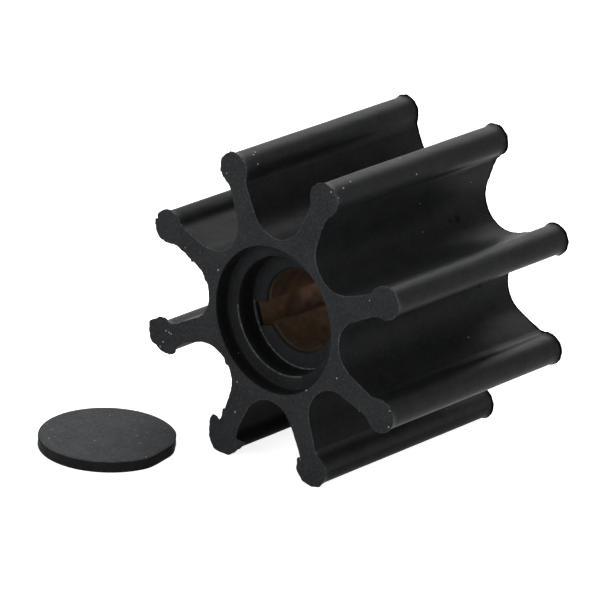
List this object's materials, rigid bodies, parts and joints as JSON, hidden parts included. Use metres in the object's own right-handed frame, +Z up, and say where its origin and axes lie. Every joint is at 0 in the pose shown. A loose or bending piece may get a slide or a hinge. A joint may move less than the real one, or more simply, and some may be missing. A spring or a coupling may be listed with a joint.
{
  "type": "rubber pump impeller",
  "caption": "Flexible rubber pump impeller with round-beaded radial blades, a keyed bronze bush and a loose rubber hub plug lying beside it.",
  "frame": {"origin": "on the shaft axis, at half the width of the rubber body", "axes": "+Y along the shaft axis from the open front face to the rear face, +Z up, +X to the right seen from the front"},
  "size_m": [0.0733, 0.077, 0.0613],
  "materials": {
    "moulded_rubber": "matte moulded rubber with ground end faces",
    "plug_rubber": "matte cut rubber sheet",
    "bronze": "turned, dull"
  },
  "bodies": {
    "root": {"impeller_body": "moulded_rubber", "drive_bush": "bronze", "hub_plug": "plug_rubber"}
  },
  "joints": []
}
